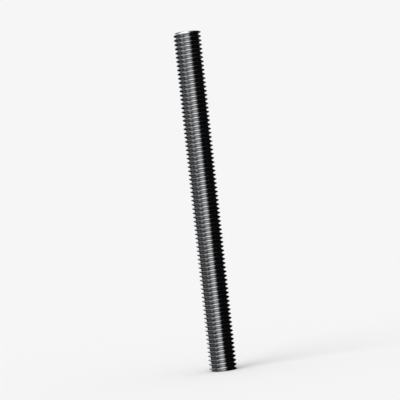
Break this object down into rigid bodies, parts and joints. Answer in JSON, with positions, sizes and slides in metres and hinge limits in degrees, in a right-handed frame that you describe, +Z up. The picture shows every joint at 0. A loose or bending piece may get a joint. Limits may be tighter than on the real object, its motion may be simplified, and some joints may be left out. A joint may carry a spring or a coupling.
{
  "type": "threaded rod",
  "caption": "Short length of plain steel rod with a right-hand coarse screw thread over its whole length and square-cut, deburred ends.",
  "frame": {"origin": "centre of the lower end face, on which the rod stands", "axes": "+Z up along the rod's axis; +X is the side where the first crest lies just above the lower end face"},
  "size_m": [0.0098, 0.0098, 0.1205],
  "materials": {
    "steel": "bright bare steel, with a rolled thread, fine rolling marks and saw marks on the ends"
  },
  "bodies": {
    "root": {"threaded_rod": "steel"}
  },
  "joints": []
}
